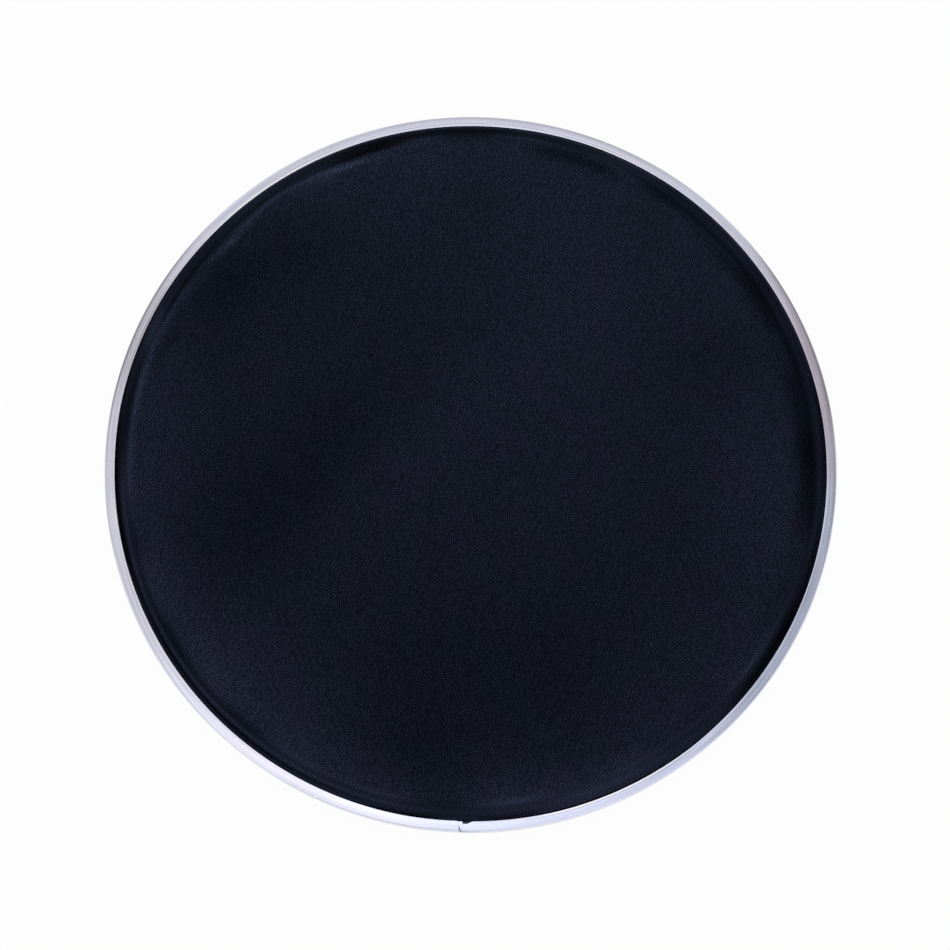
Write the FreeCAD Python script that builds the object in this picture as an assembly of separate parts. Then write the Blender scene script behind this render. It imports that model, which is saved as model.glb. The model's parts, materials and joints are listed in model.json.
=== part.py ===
# Two-ply mesh drum head for a shell 203.2 mm across, playing side up, slack as it comes off the drum.
# The origin is the centre of the hoop's foot, and +Z points to the playing surface. Sizes are in mm.
import FreeCAD
import Part
import math
import os

# Hoop: a channel section, open at the top, rolled to a circle, its outer wall pressed over into a rim
hoop_outer_radius = 107.0
hoop_height = 8.0
hoop_wall = 0.9
rim_width = 3.1
rim_outer_round = 0.45
rim_lip_round = 0.25
rim_groove_inset = 0.62
rim_groove_width = 0.2
rim_groove_depth = 0.1
inner_wall_drop = 0.6
inner_wall_round = 0.3
foot_round = 0.6

# Butt joint: where the ends of the strip meet on the near side, with a nick in the rim beside it
butt_offset = 3.3
butt_gap = 0.18
nick_set_off = 0.9
nick_width = 1.9
nick_taper = 2.0
nick_depth = 0.85

# Mesh: two plies, one on the other, from the playing surface down the collar and into the hoop
ply_thickness = 0.3
collar_rise = 4.2
collar_run = 4.4
shoulder_radius = 2.2
collar_foot_radius = 0.7
tail_length = 1.2
wrap_bends = 4

# What holds the mesh in the channel
bed_thickness = 1.0
plate_length = 30.0
plate_thickness = 0.5
plate_side_room = 0.5

# Room left between pieces, and how far a cut runs past what it cuts
fit_clearance = 0.05
resin_clearance = 0.15
cut_overrun = 1.0

# Radii and heights that follow from the sizes above
rim_inner_radius = hoop_outer_radius - rim_width
slit_width = 2 * ply_thickness + 3 * fit_clearance
cavity_inner_radius = rim_inner_radius - slit_width
cavity_outer_radius = hoop_outer_radius - hoop_wall
bore_radius = cavity_inner_radius - hoop_wall
rim_underside = hoop_height - hoop_wall
inner_wall_top = hoop_height - inner_wall_drop
playing_height = hoop_height + collar_rise

# The surface between the plies, which wraps the retaining ring in the middle of the channel
half_clearance = fit_clearance / 2
ply_reach = half_clearance + ply_thickness
wrap_centre_radius = (cavity_inner_radius + cavity_outer_radius) / 2
wrap_outside = (cavity_outer_radius - cavity_inner_radius) / 2 - fit_clearance
wrap_radius = wrap_outside - ply_reach
ring_wire_radius = wrap_radius - ply_reach - resin_clearance
ring_height = hoop_wall + bed_thickness + resin_clearance + wrap_outside
mesh_slit_radius = wrap_centre_radius - wrap_radius

axis_foot = FreeCAD.Vector(0, 0, 0)
axis_up = FreeCAD.Vector(0, 0, 1)
full_turn_deg = 360.0


def section_point(radius, height):
    """Point of a section that is turned about the head's axis."""
    return FreeCAD.Vector(radius, 0, height)


def heading_vector(heading):
    """Unit vector in the section for a heading in radians, counted from straight outwards."""
    return FreeCAD.Vector(math.cos(heading), 0, math.sin(heading))


def turned(wire, sweep_deg=full_turn_deg):
    """Solid that a closed section makes when it is turned about the head's axis."""
    return Part.Face(wire).revolve(axis_foot, axis_up, sweep_deg)


def rounded_outline(corners):
    """Closed section through (radius, height, round) corners, each rounded by an arc of its own."""
    places = [section_point(radius, height) for radius, height, _ in corners]
    rounded = []
    for index, (_, _, corner_round) in enumerate(corners):
        here = places[index]
        back = (places[index - 1] - here).normalize()
        ahead = (places[(index + 1) % len(places)] - here).normalize()
        half_turn = (math.pi - back.getAngle(ahead)) / 2
        setback = corner_round * math.tan(half_turn)
        inward = (back + ahead).normalize()
        crest = here + inward * (corner_round / math.cos(half_turn) - corner_round)
        rounded.append((here + back * setback, crest, here + ahead * setback, corner_round))
    edges = []
    for index, (entry, crest, leave, corner_round) in enumerate(rounded):
        if corner_round:
            edges.append(Part.Arc(entry, crest, leave).toShape())
        next_entry = rounded[(index + 1) % len(rounded)][0]
        edges.append(Part.LineSegment(leave, next_entry).toShape())
    return Part.Wire(edges)


def mesh_moves():
    """Runs and bends of the surface between the plies, from the axis out to the end of the tail."""
    top = playing_height - ply_thickness - half_clearance
    shoulder = section_point(rim_inner_radius - collar_run, top)
    foot = section_point(mesh_slit_radius, hoop_height)
    slope = math.atan2(shoulder.z - foot.z, foot.x - shoulder.x)
    upright = math.pi / 2 - slope
    shoulder_setback = shoulder_radius * math.tan(slope / 2)
    foot_setback = collar_foot_radius * math.tan(upright / 2)
    return [
        ("run", shoulder.x - shoulder_setback),
        ("bend", shoulder_radius, -slope),
        ("run", shoulder.distanceToPoint(foot) - shoulder_setback - foot_setback),
        ("bend", collar_foot_radius, -upright),
        ("run", foot.z - foot_setback - ring_height),
        *[("bend", wrap_radius, math.pi / wrap_bends)] * wrap_bends,
        ("run", tail_length),
    ]


def mesh_path(offset):
    """Edges of the mesh's path, moved to its left by the offset, with the path's two ends."""
    heading = 0.0
    top = playing_height - ply_thickness - half_clearance
    start = section_point(0, top) + heading_vector(math.pi / 2) * offset
    here = start
    edges = []
    for kind, size, *turn in mesh_moves():
        if kind == "run":
            there = here + heading_vector(heading) * size
            edges.append(Part.LineSegment(here, there).toShape())
        else:
            side = math.copysign(math.pi / 2, turn[0])
            radius = size - offset if turn[0] > 0 else size + offset
            centre = here + heading_vector(heading + side) * radius
            crest = centre + heading_vector(heading + turn[0] / 2 - side) * radius
            heading += turn[0]
            there = centre + heading_vector(heading - side) * radius
            edges.append(Part.Arc(here, crest, there).toShape())
        here = there
    return edges, start, here


def mesh_ply(near, far):
    """One ply: the band between two offsets of the mesh's path, turned about the axis."""
    near_edges, near_start, near_end = mesh_path(near)
    far_edges, far_start, far_end = mesh_path(far)
    caps = [
        Part.LineSegment(near_start, far_start).toShape(),
        Part.LineSegment(near_end, far_end).toShape(),
    ]
    return turned(Part.Wire(Part.sortEdges(near_edges + far_edges + caps)[0]))


def flat_cut_radius():
    """Radius of the disc that a ply is cut from, measured along the surface between the plies."""
    runs = sum(move[1] for move in mesh_moves() if move[0] == "run")
    bends = sum(move[1] * abs(move[2]) for move in mesh_moves() if move[0] == "bend")
    return runs + bends


def at_butt_joint(shape):
    """Carries a shape from the +X axis round to the butt joint, just left of the nearest point."""
    joint_deg = -90.0 - math.degrees(butt_offset / rim_inner_radius)
    shape.rotate(axis_foot, axis_up, joint_deg)
    return shape


def nick_cut():
    """Tapered nick in the rim's inner lip, to the right of the butt joint."""
    inside = rim_inner_radius - slit_width / 2
    bottom = rim_inner_radius + nick_depth
    start = nick_set_off
    level = rim_underside - fit_clearance
    outline = [
        FreeCAD.Vector(inside, start, level),
        FreeCAD.Vector(bottom, start, level),
        FreeCAD.Vector(bottom, start + nick_width, level),
        FreeCAD.Vector(inside, start + nick_width + nick_taper, level),
        FreeCAD.Vector(inside, start, level),
    ]
    face = Part.Face(Part.makePolygon(outline))
    return at_butt_joint(face.extrude(axis_up * (hoop_wall + fit_clearance + cut_overrun)))


def hoop_channel():
    """Rolled channel with its pressed rim, the groove along the rim's lip, the butt joint and the nick."""
    groove_middle = rim_inner_radius + rim_groove_inset
    groove_bottom = hoop_height - rim_groove_depth
    section = rounded_outline([
        (bore_radius, 0, foot_round),
        (hoop_outer_radius, 0, foot_round),
        (hoop_outer_radius, hoop_height, rim_outer_round),
        (groove_middle + rim_groove_width / 2, hoop_height, 0),
        (groove_middle, groove_bottom, 0),
        (groove_middle - rim_groove_width / 2, hoop_height, 0),
        (rim_inner_radius, hoop_height, rim_lip_round),
        (rim_inner_radius, rim_underside, 0),
        (cavity_outer_radius, rim_underside, 0),
        (cavity_outer_radius, hoop_wall, 0),
        (cavity_inner_radius, hoop_wall, 0),
        (cavity_inner_radius, inner_wall_top, inner_wall_round),
        (bore_radius, inner_wall_top, inner_wall_round),
    ])
    gap_deg = math.degrees(butt_gap / rim_inner_radius)
    strip = turned(section, full_turn_deg - gap_deg)
    strip.rotate(axis_foot, axis_up, gap_deg / 2)
    return at_butt_joint(strip).cut(nick_cut())


def upper_mesh_ply():
    """Playing ply, on the outside of the collar and next to the retaining ring."""
    return mesh_ply(half_clearance, ply_reach)


def lower_mesh_ply():
    """Backing ply, on the shell's side."""
    return mesh_ply(-ply_reach, -half_clearance)


def retaining_ring():
    """Wire ring that both plies are turned round, too thick to pass the slit with them."""
    ring = Part.makeTorus(wrap_centre_radius, ring_wire_radius)
    ring.translate(FreeCAD.Vector(0, 0, ring_height))
    return ring


def floor_strip(side_room, length, thickness):
    """Curved strip on the channel's floor, centred on the butt joint."""
    inside = cavity_inner_radius + side_room
    outside = cavity_outer_radius - side_room
    sweep_deg = math.degrees(length / wrap_centre_radius)
    top = hoop_wall + thickness
    section = rounded_outline([
        (inside, hoop_wall, 0),
        (outside, hoop_wall, 0),
        (outside, top, 0),
        (inside, top, 0),
    ])
    strip = turned(section, sweep_deg)
    strip.rotate(axis_foot, axis_up, -sweep_deg / 2)
    return at_butt_joint(strip)


def joint_plate():
    """Strip that bridges the butted ends and keeps them in line."""
    return floor_strip(plate_side_room, plate_length, plate_thickness)


def resin_bed():
    """Resin between the channel's floor and the wrapped ring, moulded over the joint plate."""
    inside = cavity_inner_radius + resin_clearance
    outside = cavity_outer_radius - resin_clearance
    top = hoop_wall + bed_thickness
    bed = turned(rounded_outline([
        (inside, hoop_wall, 0),
        (outside, hoop_wall, 0),
        (outside, top, 0),
        (inside, top, 0),
    ]))
    pocket = floor_strip(
        plate_side_room - resin_clearance,
        plate_length + 2 * resin_clearance,
        plate_thickness + resin_clearance,
    )
    return bed.cut(pocket)


def resin_fill():
    """Resin above the wrapped ring, stepped over the mesh's tails and closing the channel under the rim."""
    beside_mesh = mesh_slit_radius + ply_reach + resin_clearance
    inside_tail = wrap_centre_radius + wrap_radius - ply_reach - resin_clearance
    outside = cavity_outer_radius - resin_clearance
    top = rim_underside - resin_clearance
    over_ring = ring_height + ring_wire_radius + resin_clearance
    over_tail = ring_height + tail_length + resin_clearance
    return turned(rounded_outline([
        (beside_mesh, over_ring, 0),
        (inside_tail, over_ring, 0),
        (inside_tail, over_tail, 0),
        (outside, over_tail, 0),
        (outside, top, 0),
        (beside_mesh, top, 0),
    ]))


def write_parts():
    """Builds every piece and writes each one to a file of its own."""
    pieces = {
        "hoop_channel": hoop_channel(),
        "joint_plate": joint_plate(),
        "resin_bed": resin_bed(),
        "retaining_ring": retaining_ring(),
        "lower_mesh_ply": lower_mesh_ply(),
        "upper_mesh_ply": upper_mesh_ply(),
        "resin_fill": resin_fill(),
    }
    os.makedirs("parts", exist_ok=True)
    for name, shape in pieces.items():
        shape.exportStep("parts/" + name + ".step")
        print(name, "solids", len(shape.Solids), "valid", shape.isValid(), "volume", round(shape.Volume, 1))
    print("bore radius", round(bore_radius, 3), "ring wire radius", round(ring_wire_radius, 3))
    print("ply cut radius", round(flat_cut_radius(), 2), "playing height", playing_height)


write_parts()
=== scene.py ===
"""Looks of a two-ply mesh drum head: a rolled aluminium hoop, two woven plies and what grips them in it.

Sizes are in metres where nothing else is said, in the part's own frame: the origin is the centre of the
hoop's foot, +Z points to the playing surface and -Y to the hoop's butt joint.
"""
import json
import logging
import math
from dataclasses import dataclass
from enum import Enum
from typing import Iterable, Sequence

import bmesh
import bpy
import numpy as np
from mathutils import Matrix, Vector


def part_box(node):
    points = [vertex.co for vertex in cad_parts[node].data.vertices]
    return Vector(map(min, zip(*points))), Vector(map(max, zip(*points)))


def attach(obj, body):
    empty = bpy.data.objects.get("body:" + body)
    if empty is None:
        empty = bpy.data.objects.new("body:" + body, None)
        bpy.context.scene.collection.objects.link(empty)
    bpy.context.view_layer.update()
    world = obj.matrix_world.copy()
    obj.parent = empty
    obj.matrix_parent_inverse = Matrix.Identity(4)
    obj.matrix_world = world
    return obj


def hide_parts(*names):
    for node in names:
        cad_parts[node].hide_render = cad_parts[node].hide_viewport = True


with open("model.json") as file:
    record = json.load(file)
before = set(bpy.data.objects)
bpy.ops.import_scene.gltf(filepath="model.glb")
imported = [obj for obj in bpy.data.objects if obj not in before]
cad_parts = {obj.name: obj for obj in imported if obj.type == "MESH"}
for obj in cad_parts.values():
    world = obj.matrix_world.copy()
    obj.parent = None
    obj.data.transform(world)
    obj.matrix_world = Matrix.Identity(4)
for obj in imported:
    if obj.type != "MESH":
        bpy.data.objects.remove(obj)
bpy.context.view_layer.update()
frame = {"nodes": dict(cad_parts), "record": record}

BODY = "root"
MM = 0.001
FULL_TURN = 2 * math.pi
ALL = (0.0, 1.0)
WHITE = (1.0, 1.0, 1.0, 1.0)
ARC_FULL_SHARE = 0.35

# Numbers of the Mix node's sockets for colours.
MIX_SHARE, MIX_FIRST, MIX_SECOND, MIX_RESULT = 0, 6, 7, 2

LOG = logging.getLogger("drum_head")

Colour = tuple[float, float, float]
Place = tuple[float, float, float]
Ends = tuple[float, float]
Socket = bpy.types.NodeSocket
Value = Socket | float
Inputs = dict[str | int, object]


class Side(Enum):
    """Which ply of the mesh a piece is."""

    UPPER = "upper_mesh_ply"
    LOWER = "lower_mesh_ply"


class Move(Enum):
    """How a stretch of the mesh's path goes on."""

    RUN = "straight on"
    BEND = "round an arc"


@dataclass(frozen=True)
class Stretch:
    """One stretch of the mesh's path.

    Attributes:
        steps: how many points it is drawn with.
        move: straight run or bend.
        size: length of a run or radius of a bend.
        turn: angle that a bend turns by, positive to the left.
        crowding: power above 1 that draws a run's points towards its end.
    """

    steps: int
    move: Move
    size: float
    turn: float = 0.0
    crowding: float = 1.0

    @property
    def length(self) -> float:
        """Length along the path."""
        return self.size if self.move is Move.RUN else self.size * abs(self.turn)


@dataclass(frozen=True)
class Corner:
    """Corner of a section, by radius and height, with the radius that it is rounded to."""

    radius: float
    height: float
    rounding: float = 0.0


def smooth_step(low: float, high: float, value: np.ndarray) -> np.ndarray:
    """Rises smoothly from 0 at low to 1 at high."""
    share = np.clip((value - low) / (high - low), 0.0, 1.0)
    return share * share * (3 - 2 * share)


def angle_between(angle: np.ndarray, middle: float) -> np.ndarray:
    """Signed angle from a middle direction, within half a turn of it."""
    return (angle - middle + math.pi) % FULL_TURN - math.pi


def arc_strength(angle: np.ndarray, direction: float, half_width: float) -> np.ndarray:
    """How much each direction has of a stretch of the round, in degrees, that fades to its ends."""
    away = np.abs(angle_between(angle, math.radians(direction)))
    return 1 - smooth_step(ARC_FULL_SHARE, 1.0, away / math.radians(half_width))


def rounded_section(corners: Sequence[Corner], arc_step: float) -> np.ndarray:
    """Closed section through its corners, with each rounded one drawn as an arc.

    Args:
        corners: the section's corners in order.
        arc_step: largest angle between two points of an arc.

    Returns:
        Points as rows of radius and height.
    """
    places = [np.array((corner.radius, corner.height)) for corner in corners]
    points: list[np.ndarray] = []
    for index, corner in enumerate(corners):
        here = places[index]
        if not corner.rounding:
            points.append(here)
            continue
        ways = (places[index - 1] - here, places[(index + 1) % len(places)] - here)
        back, ahead = (way / np.linalg.norm(way) for way in ways)
        half_turn = (math.pi - math.acos(float(np.clip(back @ ahead, -1, 1)))) / 2
        inward = (back + ahead) / np.linalg.norm(back + ahead)
        centre = here + inward * corner.rounding / math.cos(half_turn)
        first, last = (here + way * corner.rounding * math.tan(half_turn) - centre for way in (back, ahead))
        steps = max(2, math.ceil(2 * half_turn / arc_step))
        sine = math.sin(2 * half_turn)
        for share in np.linspace(0.0, 1.0, steps + 1):
            near, far = (math.sin(part * 2 * half_turn) / sine for part in (1 - share, share))
            points.append(centre + first * near + last * far)
    return np.array(points)


def point_values(mesh: bpy.types.Mesh, *names: str) -> list[np.ndarray]:
    """Reads numbers that a mesh keeps on its points.

    Args:
        mesh: the mesh.
        names: the numbers' names.

    Returns:
        An array for each name.
    """
    arrays = []
    for name in names:
        values = np.empty(len(mesh.vertices), np.float32)
        mesh.attributes[name].data.foreach_get("value", values)
        arrays.append(values.astype(float))
    return arrays


def keep_values(mesh: bpy.types.Mesh, **arrays: np.ndarray) -> None:
    """Keeps numbers on the points of a mesh, by name."""
    for name, values in arrays.items():
        mesh.attributes.new(name, "FLOAT", "POINT").data.foreach_set("value", values.astype(np.float32))


def set_places(mesh: bpy.types.Mesh, radius: np.ndarray, angle: np.ndarray, height: np.ndarray) -> None:
    """Moves every point of a mesh.

    Args:
        mesh: the mesh.
        radius: each point's distance from the head's axis.
        angle: each point's direction from it.
        height: each point's height.
    """
    places = np.column_stack((radius * np.cos(angle), radius * np.sin(angle), height))
    mesh.vertices.foreach_set("co", places.astype(np.float32).ravel())
    mesh.update()


def face_outwards(mesh: bpy.types.Mesh, sharp_from: float) -> None:
    """Turns the faces of a closed mesh outwards and keeps its hard edges sharp.

    Args:
        mesh: the mesh.
        sharp_from: smallest angle between two faces that shows as a hard edge.
    """
    work = bmesh.new()
    work.from_mesh(mesh)
    bmesh.ops.recalc_face_normals(work, faces=work.faces[:])
    work.to_mesh(mesh)
    work.free()
    mesh.set_sharp_from_angle(angle=sharp_from)


class Wiring:
    """Node tree that is being wired."""

    def __init__(self, tree: bpy.types.NodeTree) -> None:
        """Takes the tree."""
        self.tree = tree

    def put(self, node: bpy.types.Node, name: str | int, value: object) -> None:
        """Feeds a node's input.

        Args:
            node: the node.
            name: the input's name or number.
            value: fixed value or another node's output.
        """
        if isinstance(value, Socket):
            self.tree.links.new(value, node.inputs[name])
        else:
            node.inputs[name].default_value = value

    def add(self, kind: str, inputs: Inputs | None = None, **settings: object) -> bpy.types.Node:
        """Adds a node.

        Args:
            kind: the node's type.
            inputs: what its inputs are fed with, by name or number.
            settings: the node's own settings.

        Returns:
            The node.
        """
        node = self.tree.nodes.new(kind)
        for name, value in settings.items():
            setattr(node, name, value)
        for name, value in (inputs or {}).items():
            self.put(node, name, value)
        return node

    def step(self, kind: str, inputs: Inputs, **settings: object) -> Socket:
        """Adds a node and returns its first output."""
        return self.add(kind, inputs, **settings).outputs[0]

    def math(self, operation: str, *values: Value) -> Socket:
        """Adds one step of arithmetic and returns its result."""
        return self.step("ShaderNodeMath", dict(enumerate(values)), operation=operation)

    def span(self, value: Socket, ends: Ends, to: Ends = ALL) -> Socket:
        """Carries a value smoothly from one range to another, held at the ends."""
        ranges = dict(zip(("From Min", "From Max", "To Min", "To Max"), ends + to))
        return self.step("ShaderNodeMapRange", {"Value": value, **ranges}, interpolation_type="SMOOTHSTEP")

    def joined(self, x: Value, y: Value, z: Value = 0.0) -> Socket:
        """Vector of three numbers."""
        return self.step("ShaderNodeCombineXYZ", {"X": x, "Y": y, "Z": z})

    def parted(self, vector: Socket) -> tuple[Socket, ...]:
        """The three numbers of a vector."""
        return tuple(self.add("ShaderNodeSeparateXYZ", {0: vector}).outputs)

    def measure(self, operation: str, *vectors: object) -> Socket:
        """Number that vector arithmetic gives, such as a length or a distance."""
        node = self.add("ShaderNodeVectorMath", dict(enumerate(vectors)), operation=operation)
        return node.outputs["Value"]


class TurnedSweep(Wiring):
    """Geometry Nodes tree that turns a section about the head's axis."""

    INPUT_KINDS = {
        "Section": "NodeSocketGeometry",
        "Segments": "NodeSocketInt",
        "Start Angle": "NodeSocketFloat",
        "Sweep Angle": "NodeSocketFloat",
        "End Crowding": "NodeSocketFloat",
        "Closed": "NodeSocketBool",
        "Material": "NodeSocketMaterial",
    }
    MERGE_DISTANCE = 1e-4 * MM

    def __init__(self) -> None:
        """Builds the tree with its named inputs."""
        super().__init__(bpy.data.node_groups.new("turned_sweep", "GeometryNodeTree"))
        sockets = self.tree.interface
        sockets.new_socket("Geometry", in_out="OUTPUT", socket_type="NodeSocketGeometry")
        self.inputs = {
            name: sockets.new_socket(name, in_out="INPUT", socket_type=kind).identifier
            for name, kind in self.INPUT_KINDS.items()
        }
        self._wire()

    def _attribute(self, name: str) -> Socket:
        """Reads a number that the section or the path carries."""
        return self.step("GeometryNodeInputNamedAttribute", {"Name": name}, data_type="FLOAT")

    def _wire(self) -> None:
        """Lays out the path, sweeps the section along it and sets each point by angle, radius and height."""
        given = self.add("NodeGroupInput").outputs
        opened = self.math("SUBTRACT", 1.0, given["Closed"])
        path = self.step("GeometryNodeCurvePrimitiveCircle", {"Resolution": given["Segments"]})
        path = self.step("GeometryNodeSetSplineCyclic", {"Geometry": path, "Cyclic": given["Closed"]})
        index = self.step("GeometryNodeInputIndex", {})
        share = self.math("DIVIDE", index, self.math("SUBTRACT", given["Segments"], opened))
        wave = self.math("SINE", self.math("MULTIPLY", share, FULL_TURN))
        crowding = self.math("DIVIDE", given["End Crowding"], FULL_TURN)
        eased = self.math("SUBTRACT", share, self.math("MULTIPLY", wave, crowding))
        turned = self.math("MULTIPLY_ADD", eased, given["Sweep Angle"], given["Start Angle"])
        carried = {"Geometry": path, "Name": "angle", "Value": turned}
        path = self.step("GeometryNodeStoreNamedAttribute", carried, data_type="FLOAT", domain="POINT")
        section = self.step("GeometryNodeMeshToCurve", {"Mesh": given["Section"]})
        swept = {"Curve": path, "Profile Curve": section, "Fill Caps": opened}
        piece = self.step("GeometryNodeCurveToMesh", swept)
        angle, radius, height = (self._attribute(name) for name in ("angle", "axis_distance", "height"))
        x, y = (self.math("MULTIPLY", radius, self.math(part, angle)) for part in ("COSINE", "SINE"))
        for kind, name, value in (
            ("SetPosition", "Position", self.joined(x, y, height)),
            ("MergeByDistance", "Distance", self.MERGE_DISTANCE),
            ("SetShadeSmooth", "Shade Smooth", True),
        ):
            piece = self.step("GeometryNode" + kind, {"Geometry": piece, name: value})
        piece = self.step("GeometryNodeRealizeInstances", {"Geometry": piece})
        piece = self.step("GeometryNodeSetMaterial", {"Geometry": piece, "Material": given["Material"]})
        self.add("NodeGroupOutput", {"Geometry": piece})

    def turn(
        self, name: str, section: np.ndarray, runs: np.ndarray, looped: bool, **settings: object
    ) -> bpy.types.Object:
        """Turns a section into a plain mesh piece.

        Args:
            name: the piece's name.
            section: points as rows of radius and height.
            runs: each point's distance along its surface, kept on the mesh.
            looped: whether the section's last point joins its first.
            settings: values of the tree's inputs, with underscores for spaces.

        Returns:
            The piece, at the origin, with the attributes angle, axis_distance, height, run and lane.
        """
        count = len(section)
        wire = bpy.data.meshes.new(name + "_section")
        edges = [(index, (index + 1) % count) for index in range(count if looped else count - 1)]
        wire.from_pydata([(*point, 0.0) for point in section.tolist()], edges, [])
        radius, height = section.T
        keep_values(wire, axis_distance=radius, height=height, run=runs, lane=np.arange(count))
        maker = bpy.data.objects.new(name + "_maker", wire)
        bpy.context.scene.collection.objects.link(maker)
        modifier = maker.modifiers.new("turned_sweep", "NODES")
        modifier.node_group = self.tree
        for key, value in settings.items():
            modifier[self.inputs[key.replace("_", " ").title()]] = value
        depsgraph = bpy.context.evaluated_depsgraph_get()
        mesh = bpy.data.meshes.new_from_object(maker.evaluated_get(depsgraph))
        bpy.data.objects.remove(maker)
        mesh.name = name
        piece = bpy.data.objects.new(name, mesh)
        bpy.context.scene.collection.objects.link(piece)
        return piece


class Bench(Wiring):
    """Bench on which one material's nodes are wired."""

    def __init__(self, name: str) -> None:
        """Starts a material with its shader and output.

        Args:
            name: the material's name.
        """
        self.material = bpy.data.materials.new(name)
        self.material.use_nodes = True
        super().__init__(self.material.node_tree)
        self.shader = next(node for node in self.tree.nodes if node.type == "BSDF_PRINCIPLED")

    def set(self, **values: object) -> None:
        """Sets the shader's inputs by name, with underscores for spaces."""
        for name, value in values.items():
            self.put(self.shader, name.replace("_", " ").title().replace("Ior", "IOR"), value)

    def blend(self, share: Value, first: object, second: object, mode: str = "MIX") -> Socket:
        """Mixes two colours.

        Args:
            share: how much of the second there is.
            first: fixed colour or another node's output.
            second: fixed colour or another node's output.
            mode: Blender's name for the way they mix.

        Returns:
            The mixed colour.
        """
        node = self.add("ShaderNodeMix", {MIX_SHARE: share}, data_type="RGBA", blend_type=mode)
        for index, value in ((MIX_FIRST, first), (MIX_SECOND, second)):
            self.put(node, index, (*value, 1.0) if isinstance(value, tuple) else value)
        return node.outputs[MIX_RESULT]

    def shaded(self, colour: Socket, shade: Socket) -> Socket:
        """Colour times a grey."""
        return self.blend(1.0, colour, self.joined(shade, shade, shade), "MULTIPLY")

    def noise(self, place: Socket, size: float, detail: float, output: str = "Fac") -> Socket:
        """Soft noise as coarse as its size, as a number from 0 to 1 or as a colour."""
        inputs = {"Vector": place, "Scale": 1 / size, "Detail": detail}
        return self.add("ShaderNodeTexNoise", inputs).outputs[output]

    def place(self) -> Socket:
        """Place on the piece, in the part's frame."""
        return self.add("ShaderNodeTexCoord").outputs["Object"]

    def kept(self, name: str, output: str = "Fac") -> Socket:
        """Number or vector that the mesh keeps on its points."""
        return self.add("ShaderNodeAttribute", attribute_name=name).outputs[output]

    def bump(self, height: Socket, depth: float, strength: float) -> None:
        """Gives the shader's surface a relief."""
        inputs = {"Height": height, "Distance": depth, "Strength": strength}
        self.put(self.shader, "Normal", self.step("ShaderNodeBump", inputs))


@dataclass(frozen=True)
class Dots:
    """Small scattered dots, such as specks or lint.

    Attributes:
        colour: their colour.
        spacing: size of the cells that hold one dot at most.
        radius: their radius.
        share: share of the cells that have one.
        channel: which of a cell's random numbers settles that.
        flat: whether they lie on an unrolled surface or in space.
    """

    colour: Colour
    spacing: float
    radius: float
    share: float
    channel: int
    flat: bool

    def over(self, bench: Bench, place: Socket, colour: Socket) -> Socket:
        """Strews the dots over a colour.

        Args:
            bench: the material's bench.
            place: place on the piece.
            colour: colour between the dots.

        Returns:
            The colour with its dots.
        """
        inputs = {"Vector": place, "Scale": 1 / self.spacing}
        dimensions = "2D" if self.flat else "3D"
        cells = bench.add("ShaderNodeTexVoronoi", inputs, voronoi_dimensions=dimensions).outputs
        chosen = bench.math("LESS_THAN", bench.parted(cells["Color"])[self.channel], self.share)
        near = bench.math("LESS_THAN", cells["Distance"], self.radius / self.spacing)
        return bench.blend(bench.math("MULTIPLY", near, chosen), colour, self.colour)


@dataclass(frozen=True)
class SideLightTint:
    """Painted reflection and shade: colour that one side of the metal shows under the light, by direction in
    degrees and the cosine where it starts.
    """

    colour: Colour
    direction: float
    start: float


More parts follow.
